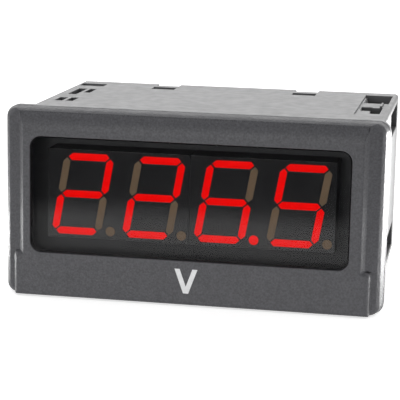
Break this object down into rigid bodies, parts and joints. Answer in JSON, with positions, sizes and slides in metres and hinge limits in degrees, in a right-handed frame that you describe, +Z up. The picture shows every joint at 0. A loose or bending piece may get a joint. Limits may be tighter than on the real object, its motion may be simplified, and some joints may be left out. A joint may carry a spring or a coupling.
{
  "type": "digital panel meter",
  "caption": "Rectangular panel-mount digital meter with a dark bezel, smoked window, red LED digits and pluggable rear screw terminals.",
  "frame": {"origin": "centre of the panel opening, in the plane of the panel's front face", "axes": "+Z up, +X to the right seen from the front, the display faces -Y and the housing runs back along +Y"},
  "size_m": [0.096, 0.0831, 0.048],
  "materials": {
    "bezel": "fine matt grain, moulded",
    "filter": "smoked acrylic, glossy",
    "print": "screen print",
    "housing": "fine matt grain, moulded",
    "cover": "fine matt grain, moulded",
    "led_shell": "matt black face on a moulded shell",
    "segment_lit": "lit diffuser resin",
    "segment_dark": "unlit diffuser resin",
    "board": "green solder mask over glass laminate",
    "header_plastic": "moulded",
    "chip": "moulded epoxy",
    "core": "varnished laminations",
    "bobbin": "moulded bobbin with taped winding",
    "sleeve": "shrink sleeve",
    "fuse_glass": "clear glass",
    "tinned_metal": "tin plate",
    "terminal_plastic": "moulded polyamide",
    "screw_steel": "zinc plate",
    "cage_steel": "zinc plate"
  },
  "bodies": {
    "meter": {"bezel": "bezel", "window": "filter", "unit_letter": "print", "housing": "housing", "rear_cover": "cover", "display_module_left": "led_shell", "display_module_right": "led_shell", "digit_1_lit": "segment_lit", "digit_1_dark": "segment_dark", "digit_2_lit": "segment_lit", "digit_2_dark": "segment_dark", "digit_3_lit": "segment_lit", "digit_3_dark": "segment_dark", "digit_4_lit": "segment_lit", "digit_4_dark": "segment_dark", "display_board": "board", "main_board": "board", "power_board": "board", "main_link_header": "header_plastic", "power_link_header": "header_plastic", "measuring_chip": "chip", "display_driver_chip": "chip", "transformer_core": "core", "transformer_bobbin": "bobbin", "smoothing_capacitor": "sleeve", "buffer_capacitor": "sleeve", "fuse_tube": "fuse_glass", "fuse_clips": "tinned_metal", "input_header": "terminal_plastic", "supply_header": "terminal_plastic", "input_header_pins": "tinned_metal", "supply_header_pins": "tinned_metal"},
    "input_plug": {"input_plug": "terminal_plastic", "input_plug_contacts": "tinned_metal"},
    "supply_plug": {"supply_plug": "terminal_plastic", "supply_plug_contacts": "tinned_metal"},
    "input_screw_1": {"input_screw_1": "screw_steel"},
    "input_cage_1": {"input_cage_1": "cage_steel"},
    "input_screw_2": {"input_screw_2": "screw_steel"},
    "input_cage_2": {"input_cage_2": "cage_steel"},
    "input_screw_3": {"input_screw_3": "screw_steel"},
    "input_cage_3": {"input_cage_3": "cage_steel"},
    "input_screw_4": {"input_screw_4": "screw_steel"},
    "input_cage_4": {"input_cage_4": "cage_steel"},
    "supply_screw_1": {"supply_screw_1": "screw_steel"},
    "supply_cage_1": {"supply_cage_1": "cage_steel"},
    "supply_screw_2": {"supply_screw_2": "screw_steel"},
    "supply_cage_2": {"supply_cage_2": "cage_steel"}
  },
  "joints": [
    {"name": "input_plug_slide", "type": "slide", "parent": "meter", "child": "input_plug", "axis": [0, 1, 0], "range_m": [0, 0.012]},
    {"name": "supply_plug_slide", "type": "slide", "parent": "meter", "child": "supply_plug", "axis": [0, 1, 0], "range_m": [0, 0.012]},
    {"name": "input_screw_1_turn", "type": "hinge", "parent": "input_plug", "child": "input_screw_1", "pos_m": [-0.02762, 0.0744, -0.0073], "axis": [0, -1, 0], "range_deg": [0, 1200]},
    {"name": "input_cage_1_rise", "type": "slide", "parent": "input_plug", "child": "input_cage_1", "axis": [0, 1, 0], "range_m": [0, 0.0015]},
    {"name": "input_screw_2_turn", "type": "hinge", "parent": "input_plug", "child": "input_screw_2", "pos_m": [-0.02254, 0.0744, -0.0073], "axis": [0, -1, 0], "range_deg": [0, 1200]},
    {"name": "input_cage_2_rise", "type": "slide", "parent": "input_plug", "child": "input_cage_2", "axis": [0, 1, 0], "range_m": [0, 0.0015]},
    {"name": "input_screw_3_turn", "type": "hinge", "parent": "input_plug", "child": "input_screw_3", "pos_m": [-0.01746, 0.0744, -0.0073], "axis": [0, -1, 0], "range_deg": [0, 1200]},
    {"name": "input_cage_3_rise", "type": "slide", "parent": "input_plug", "child": "input_cage_3", "axis": [0, 1, 0], "range_m": [0, 0.0015]},
    {"name": "input_screw_4_turn", "type": "hinge", "parent": "input_plug", "child": "input_screw_4", "pos_m": [-0.01238, 0.0744, -0.0073], "axis": [0, -1, 0], "range_deg": [0, 1200]},
    {"name": "input_cage_4_rise", "type": "slide", "parent": "input_plug", "child": "input_cage_4", "axis": [0, 1, 0], "range_m": [0, 0.0015]},
    {"name": "supply_screw_1_turn", "type": "hinge", "parent": "supply_plug", "child": "supply_screw_1", "pos_m": [0.01946, 0.0744, -0.0073], "axis": [0, -1, 0], "range_deg": [0, 1200]},
    {"name": "supply_cage_1_rise", "type": "slide", "parent": "supply_plug", "child": "supply_cage_1", "axis": [0, 1, 0], "range_m": [0, 0.0015]},
    {"name": "supply_screw_2_turn", "type": "hinge", "parent": "supply_plug", "child": "supply_screw_2", "pos_m": [0.02454, 0.0744, -0.0073], "axis": [0, -1, 0], "range_deg": [0, 1200]},
    {"name": "supply_cage_2_rise", "type": "slide", "parent": "supply_plug", "child": "supply_cage_2", "axis": [0, 1, 0], "range_m": [0, 0.0015]}
  ],
  "couplings": [
    {"joint": "input_screw_1_turn", "follows": "input_cage_1_rise", "rad_per_m": 13962},
    {"joint": "input_screw_2_turn", "follows": "input_cage_2_rise", "rad_per_m": 13962},
    {"joint": "input_screw_3_turn", "follows": "input_cage_3_rise", "rad_per_m": 13962},
    {"joint": "input_screw_4_turn", "follows": "input_cage_4_rise", "rad_per_m": 13962},
    {"joint": "supply_screw_1_turn", "follows": "supply_cage_1_rise", "rad_per_m": 13962},
    {"joint": "supply_screw_2_turn", "follows": "supply_cage_2_rise", "rad_per_m": 13962}
  ]
}
